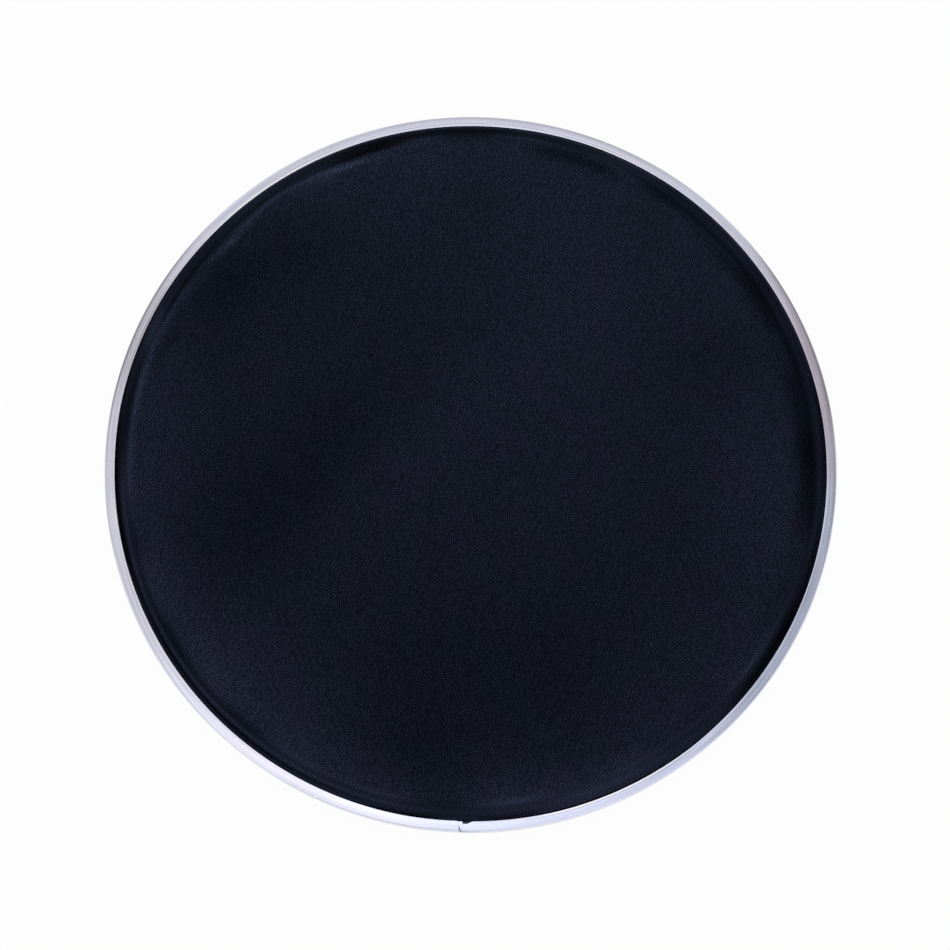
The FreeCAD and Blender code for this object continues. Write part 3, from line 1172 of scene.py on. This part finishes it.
    def stretches(self) -> list[Stretch]:
        """Surface between the plies, from the axis out to the end of the tail.

        Returns:
            Its stretches in order.
        """
        slit = 2 * self.ply_thickness + 3 * self.ply_gap
        inner, outer = self.hoop.lip_radius - slit, self.hoop.outer_radius - self.hoop.wall
        reach = self.ply_gap / 2 + self.ply_thickness
        wrap = (outer - inner) / 2 - self.ply_gap - reach
        foot_radius = (inner + outer) / 2 - wrap
        ring_height = self.lowest + wrap + reach
        shoulder = self.hoop.lip_radius - self.collar_run
        rise = self.path_height - self.hoop.height
        slope = math.atan2(rise, foot_radius - shoulder)
        upright = math.pi / 2 - slope
        shoulder_setback = self.shoulder_radius * math.tan(slope / 2)
        foot_setback = self.collar_foot_radius * math.tan(upright / 2)
        slant = math.hypot(rise, foot_radius - shoulder)
        moves = (
            (Move.RUN, shoulder - shoulder_setback, 0.0, self.flat_crowding),
            (Move.BEND, self.shoulder_radius, -slope),
            (Move.RUN, slant - shoulder_setback - foot_setback),
            (Move.BEND, self.collar_foot_radius, -upright),
            (Move.RUN, self.hoop.height - foot_setback - ring_height),
            (Move.BEND, wrap, math.pi),
            (Move.RUN, self.tail_length),
        )
        return [Stretch(steps, *move) for steps, move in zip(self.path_steps, moves)]

    def path(self, offset: float) -> tuple[np.ndarray, np.ndarray]:
        """Points of the mesh's path, moved to its left.

        Args:
            offset: how far the points lie to the left of the surface between the plies.

        Returns:
            Points as rows of radius and height, and each one's distance along the surface between the plies.
        """
        heading, run = 0.0, 0.0
        here = np.array((0.0, self.path_height + offset))
        points, runs = [here], [run]
        for stretch in self.stretches():
            shares = 1 - (1 - np.arange(1, stretch.steps + 1) / stretch.steps) ** stretch.crowding
            if stretch.move is Move.RUN:
                ahead = np.array((math.cos(heading), math.sin(heading)))
                points += [here + ahead * stretch.size * share for share in shares]
            else:
                way = math.copysign(1.0, stretch.turn)
                radius = stretch.size - way * offset
                centre = here + way * radius * np.array((-math.sin(heading), math.cos(heading)))
                for share in shares:
                    turned = heading + stretch.turn * share
                    points.append(centre - way * radius * np.array((-math.sin(turned), math.cos(turned))))
                heading += stretch.turn
            runs += [run + stretch.length * share for share in shares]
            run += stretch.length
            here = points[-1]
        return np.array(points), np.array(runs)

    def _landmarks(self) -> tuple[float, float, float]:
        """Distances along the cloth to the crest of the shoulder, the top of the slope and its foot."""
        lengths = [stretch.length for stretch in self.stretches()]
        return lengths[0] + lengths[1] / 2, sum(lengths[:2]), sum(lengths[:3])

    def _puckers(self, angle: np.ndarray) -> np.ndarray:
        """Small uneven folds that run in from the shoulder.

        Args:
            angle: the places' directions.

        Returns:
            How high each place lies on them, in shares of their rise.
        """
        chance = np.random.default_rng(self.pucker_seed)
        total = np.zeros_like(angle)
        for count in range(self.pucker_count):
            waves = self.pucker_waves + self.pucker_more_waves * count + chance.integers(0, 2)
            phase = chance.uniform(0.0, FULL_TURN)
            total += chance.uniform(*self.pucker_weights) * np.cos(waves * angle + phase)
        return total

    def _slack(self, angle: np.ndarray, run: np.ndarray) -> tuple[np.ndarray, np.ndarray]:
        """Finds what the slumps do to the cloth.

        Args:
            angle: the places' directions.
            run: their distances along the cloth.

        Returns:
            How far each place is drawn in, and how far it is let down.
        """
        crest, _, foot = self._landmarks()
        inward = np.maximum(crest - run, 0.0) / self.slump_reach
        near_edge = np.exp(-self.slump_fading * inward**2) * (1 - smooth_step(crest, foot, run)) * MM
        shares = [near_edge * slump.strength(angle) for slump in self.slumps]
        drawn = sum(slump.drawn_in * share for slump, share in zip(self.slumps, shares))
        return drawn, sum(slump.drop * share for slump, share in zip(self.slumps, shares))

    def _creased(self, angle: np.ndarray, run: np.ndarray) -> list[np.ndarray]:
        """Finds where the folds lie, once the slumps have drawn the cloth in.

        Args:
            angle: the places' directions.
            run: their distances along the cloth.

        Returns:
            For each fold, how much of it every place has.
        """
        middle, runs = self.path(0.0)
        inset = self.hoop.lip_radius - np.interp(run, runs, middle[:, 0]) + self._slack(angle, run)[0]
        return [fold.strength(angle, inset) for fold in self.folds]

    def _drape(self, mesh: bpy.types.Mesh) -> None:
        """Lets the mesh swell, pucker and slump as slack cloth does, with its edge held in the hoop.

        Args:
            mesh: the ply's mesh.
        """
        radius, height, angle, run = point_values(mesh, "axis_distance", "height", "angle", "run")
        crest, _, foot = self._landmarks()
        held = 1 - smooth_step(crest, foot, run)
        inward = np.maximum(crest - run, 0.0)
        x, y = radius * np.cos(angle), radius * np.sin(angle)
        swollen = sum(swell.rise * MM * swell.strength(x, y) for swell in self.swells)
        puckered = self.pucker_rise * self._puckers(angle) * np.exp(-inward / self.pucker_reach)
        creased = sum(fold.tone * share for fold, share in zip(self.folds, self._creased(angle, run)))
        lift = swollen * smooth_step(0.0, self.slump_reach, inward)
        lift = lift + (puckered + self.fold_rise * creased) * held
        drawn, drop = self._slack(angle, run)
        settled = radius - drawn * smooth_step(0.0, self.slump_reach, radius)
        set_places(mesh, settled, angle, height + lift - drop)

    def _paint_light_and_shade(self, mesh: bpy.types.Mesh) -> None:
        """Keeps on each point the cloth's painted light and shade, as its tone, and how taut the cloth lies
        there.

        Args:
            mesh: the ply's mesh.
        """
        places = np.empty(3 * len(mesh.vertices), np.float32)
        mesh.vertices.foreach_get("co", places)
        x, y, _ = places.reshape(-1, 3).astype(float).T
        angle, run = point_values(mesh, "angle", "run")
        crest, slope, foot = self._landmarks()
        puckers = self._puckers(angle)
        by_edge = np.exp(-np.maximum(crest - run, 0.0) / self.edge_glow_reach)
        on_ridge = np.exp(-(((run - crest) / self.ridge_width) ** 2))
        down_slope = smooth_step(crest, slope + self.ridge_width / 2, run)
        # Painted light and shade: the swells' rises lighter and hollows darker, a painted glow by the edge,
        # a painted highlight on the shoulder's ridge, painted shade down the collar, a painted highlight at
        # its foot, the folds' painted light or shade, and painted shade in the slit.
        tone = 1 + sum(swell.tone * swell.strength(x, y) for swell in self.swells)
        tone = tone * (1 + (self.edge_glow + self.pucker_glow * puckers) * by_edge)
        tone = tone * (1 + (self.ridge_highlight + self.pucker_highlight * puckers) * on_ridge)
        tone = tone * (1 - (1 - self.collar_shade) * down_slope)
        tone = tone + self.foot_highlight * np.exp(-(((run - foot) / self.ply_thickness) ** 2))
        for fold, share in zip(self.folds, self._creased(angle, run)):
            tone = tone * (1 + fold.tone * share)
        tone = tone * (1 - (1 - self.slit_shade) * smooth_step(foot, foot + self.collar_foot_radius, run))
        keep_values(mesh, tone=tone, taut=smooth_step(crest - 2 * self.ridge_width, slope, run))

    def _lay_out_cut(self, mesh: bpy.types.Mesh, turn_point: int, shown_outside: bool) -> None:
        """Keeps each point's place on the flat cut, for the weave, and lays both faces out side by side.

        Args:
            mesh: the ply's mesh.
            turn_point: lane of the section where its upper face ends.
            shown_outside: whether the upper face is the one that shows.
        """
        angle, run, lane = point_values(mesh, "angle", "run", "lane")
        cut = np.column_stack((run * np.cos(angle), run * np.sin(angle), np.zeros_like(run)))
        kept = mesh.attributes.new("cut", "FLOAT_VECTOR", "POINT")
        kept.data.foreach_set("vector", cut.astype(np.float32).ravel())
        corners = np.empty(len(mesh.loops), np.int32)
        mesh.loops.foreach_get("vertex_index", corners)
        angle, run, lane = angle[corners], run[corners], lane[corners]
        counts = np.array([polygon.loop_total for polygon in mesh.polygons])
        owners = np.repeat(np.arange(len(counts)), counts)
        lowest_lane = np.full(len(counts), np.inf)
        np.minimum.at(lowest_lane, owners, lane)
        first = lowest_lane[owners] < turn_point
        past_end = np.where(first & (lane > turn_point), self.ply_thickness, 0.0)
        shown = first == shown_outside
        size = np.where(shown, self.shown_face_size, self.hidden_face_size)
        middle = np.where(shown, size + self.face_margin, 1 - size - self.face_margin)
        share = (run + past_end) / (self.cut_radius + self.ply_thickness) * size
        flat = np.column_stack((middle + share * np.cos(angle), middle + share * np.sin(angle)))
        layer = mesh.uv_layers.new(name="OFBake")
        layer.data.foreach_set("uv", flat.astype(np.float32).ravel())

    def build(self, sweep: TurnedSweep, side: Side) -> bpy.types.Object:
        """Turns one ply's section, drapes it and lays out its cut.

        Args:
            sweep: the tree that turns sections.
            side: which ply to build.

        Returns:
            The ply.
        """
        near, far = self.ply_gap / 2, self.ply_gap / 2 + self.ply_thickness
        top, bottom = (far, near) if side is Side.UPPER else (-near, -far)
        turns = (self.upper_turn, self.lower_turn)
        own, behind = turns if side is Side.UPPER else turns[::-1]
        upper_face, runs = self.path(top)
        lower_face, _ = self.path(bottom)
        name = "woven_" + side.value
        ply = sweep.turn(
            name,
            np.concatenate((upper_face, lower_face[::-1])),
            np.concatenate((runs, runs[::-1])),
            looped=False,
            segments=self.segments,
            start_angle=0.0,
            sweep_angle=FULL_TURN,
            end_crowding=0.0,
            closed=True,
            material=WovenMesh(name, own, behind).material(),
        )
        self._drape(ply.data)
        self._paint_light_and_shade(ply.data)
        face_outwards(ply.data, self.sharp_from)
        self._lay_out_cut(ply.data, len(runs) - 1, side is Side.UPPER)
        return ply

    def dress(self, ply: bpy.types.Object, side: Side) -> None:
        """Fixes a ply to the body in place of its plain solid.

        Args:
            ply: the ply.
            side: which ply it is.
        """
        width = 2 * self.cut_radius
        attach(ply, BODY)
        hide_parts(side.value)
        math.pi * self.cut_radius**2


@dataclass(frozen=True)
class PackedInsides:
    """What grips the mesh inside the channel: wire ring, joint strip and resin."""

    slit_radius: float
    wire: MottledFinish = MottledFinish(
        "ring_steel", (0.56, 0.56, 0.58), (0.42, 0.42, 0.44), 1.0, (0.3, 0.45), 3 * MM, 0.02 * MM
    )
    strip: MottledFinish = MottledFinish(
        "plate_aluminium", (0.68, 0.69, 0.71), (0.56, 0.57, 0.60), 1.0, (0.32, 0.5), 2 * MM, 0.02 * MM
    )
    resin: MottledFinish = MottledFinish(
        "potting_resin",
        (0.46, 0.39, 0.26),
        (0.34, 0.28, 0.17),
        0.0,
        (0.35, 0.55),
        4 * MM,
        0.05 * MM,
        painted_shade=(0.016, 0.011, 0.022),
    )

    def dress(self, nodes: dict[str, bpy.types.Object]) -> list[bpy.types.Object]:
        """Gives each hidden piece its finish.

        Args:
            nodes: the frame's objects by name.

        Returns:
            The hidden pieces.
        """
        resin = self.resin.material(self.slit_radius)
        finishes = {
            "retaining_ring": self.wire.material(),
            "joint_plate": self.strip.material(),
            "resin_bed": resin,
            "resin_fill": resin,
        }
        for name, material in finishes.items():
            nodes[name].data.materials.clear()
            nodes[name].data.materials.append(material)
        return [nodes[name] for name in finishes]


@dataclass(frozen=True)
class Lamp:
    """Soft round lamp that points at the head."""

    name: str
    place: Place
    width: float
    watts: float
    tint: Colour = (1.0, 0.955, 0.90)

    def hang(self) -> None:
        """Hangs the lamp."""
        light = bpy.data.lights.new(self.name, "AREA")
        light.shape, light.size, light.energy, light.color = "DISK", self.width, self.watts, self.tint
        lamp = bpy.data.objects.new(self.name, light)
        lamp.location = self.place
        lamp.rotation_euler = (-Vector(self.place)).to_track_quat("-Z", "Y").to_euler()
        bpy.context.scene.collection.objects.link(lamp)


@dataclass(frozen=True)
class SkyPatch:
    """Soft dimmer patch of the studio's dome, by direction, half width in degrees and how much dimmer."""

    towards: Place
    half_width: float
    dimming: float


@dataclass(frozen=True)
class Studio:
    """Pale floor, soft light and the camera, almost straight above the head."""

    camera_distance: float = 0.600
    camera_tilt: float = math.radians(12.57)
    camera_lens_mm: float = 76.8
    camera_sensor_mm: float = 36.0
    aim: Place = (1.25 * MM, -2.58 * MM, 0.0)
    floor_width: float = 8.0
    floor_drop: float = 0.05 * MM
    floor_white: float = 0.84
    backdrop_share: float = 0.93
    sky_at_horizon: float = 1.06
    sky_overhead: float = 1.0
    patches: tuple[SkyPatch, ...] = (
        SkyPatch((0.27, 0.13, 1.0), 16.0, 0.66),
        SkyPatch((-0.26, 0.20, 1.0), 14.0, 0.38),
    )
    lamps: tuple[Lamp, ...] = (Lamp("overhead_softbox", (-0.075, -0.07, 1.25), 0.46, 0.46),)

    def build(self) -> None:
        """Builds the floor, sky, lamps and camera."""
        bpy.context.scene.view_settings.view_transform = "Standard"
        self._lay_floor()
        self._light_sky()
        for lamp in self.lamps:
            lamp.hang()
        self._set_camera()

    def _floor_material(self) -> bpy.types.Material:
        """White floor, seen almost plain by the camera, in mirrors and through glass.

        Returns:
            The material.
        """
        material = bpy.data.materials.new("pale_floor")
        material.use_nodes = True
        material.node_tree.nodes.clear()
        wiring = Wiring(material.node_tree)
        rays = wiring.add("ShaderNodeLightPath").outputs
        plain = wiring.math("MAXIMUM", rays["Is Camera Ray"], rays["Is Glossy Ray"])
        plain = wiring.math("MAXIMUM", plain, rays["Is Transmission Ray"])
        matt = wiring.step("ShaderNodeBsdfDiffuse", {"Color": (self.floor_white,) * 3 + (1.0,)})
        glow = wiring.step("ShaderNodeEmission", {"Color": WHITE})
        share = wiring.math("MULTIPLY", plain, self.backdrop_share)
        shown = wiring.step("ShaderNodeMixShader", {0: share, 1: matt, 2: glow})
        wiring.add("ShaderNodeOutputMaterial", {"Surface": shown})
        return material

    def _lay_floor(self) -> None:
        """Lays the pale floor, which shows nearly white and keeps the head's shadow."""
        half = self.floor_width / 2
        mesh = bpy.data.meshes.new("floor")
        corners = [(-half, -half), (half, -half), (half, half), (-half, half)]
        mesh.from_pydata([(x, y, -self.floor_drop) for x, y in corners], [], [(0, 1, 2, 3)])
        mesh.materials.append(self._floor_material())
        floor = bpy.data.objects.new("floor", mesh)
        bpy.context.scene.collection.objects.link(floor)

    def _light_sky(self) -> None:
        """Lights the studio from all round, a little brighter at the horizon and dimmer in its patches."""
        world = bpy.data.worlds.new("studio")
        world.use_nodes = True
        bpy.context.scene.world = world
        wiring = Wiring(world.node_tree)
        direction = wiring.add("ShaderNodeTexCoord").outputs["Generated"]
        total = wiring.span(wiring.parted(direction)[2], ALL, (self.sky_at_horizon, self.sky_overhead))
        for patch in self.patches:
            facing = wiring.measure("DOT_PRODUCT", direction, Vector(patch.towards).normalized())
            ends = (math.cos(math.radians(patch.half_width)), 1.0)
            total = wiring.math("SUBTRACT", total, wiring.span(facing, ends, (0.0, patch.dimming)))
        sky = next(node for node in wiring.tree.nodes if node.type == "BACKGROUND")
        wiring.put(sky, "Color", WHITE)
        wiring.put(sky, "Strength", total)

    def _set_camera(self) -> None:
        """Sets the camera above the near side, looking down at the head."""
        data = bpy.data.cameras.new("camera")
        data.lens, data.sensor_width = self.camera_lens_mm, self.camera_sensor_mm
        camera = bpy.data.objects.new("camera", data)
        tilt = self.camera_tilt
        place = Vector((0.0, -math.sin(tilt), math.cos(tilt))) * self.camera_distance
        place.x = self.aim[0]
        camera.location = place
        camera.rotation_euler = (Vector(self.aim) - place).to_track_quat("-Z", "Y").to_euler()
        bpy.context.scene.collection.objects.link(camera)
        bpy.context.scene.camera = camera


def mount_size(record: dict, name: str, key: str) -> float:
    """Size in metres of one of the record's mounts, which gives it in millimetres."""
    mount = next(mount for mount in record["mounts"] if mount["name"] == name)
    return mount["dims"][key] * MM


def main() -> None:
    """Builds and dresses every sub-assembly, then the studio."""
    logging.basicConfig(level=logging.INFO, format="%(name)s: %(message)s")
    sweep = TurnedSweep()
    hoop_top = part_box("hoop_channel")[1]
    rolled = RolledHoop(hoop_top.x, hoop_top.z, mount_size(frame["record"], "shell_bore", "r_mm"))
    hoop = rolled.build(sweep)
    rolled.dress(hoop)
    pieces = [hoop]
    skin = MeshSkin(rolled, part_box("upper_mesh_ply")[1].z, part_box("lower_mesh_ply")[0].z)
    for side in Side:
        ply = skin.build(sweep, side)
        skin.dress(ply, side)
        pieces.append(ply)
    pieces += PackedInsides(rolled.lip_radius).dress(frame["nodes"])
    for piece in pieces:
        LOG.info("%s: %d faces", piece.name, len(piece.data.polygons))
    Studio().build()


if __name__ == "__main__":
    main()
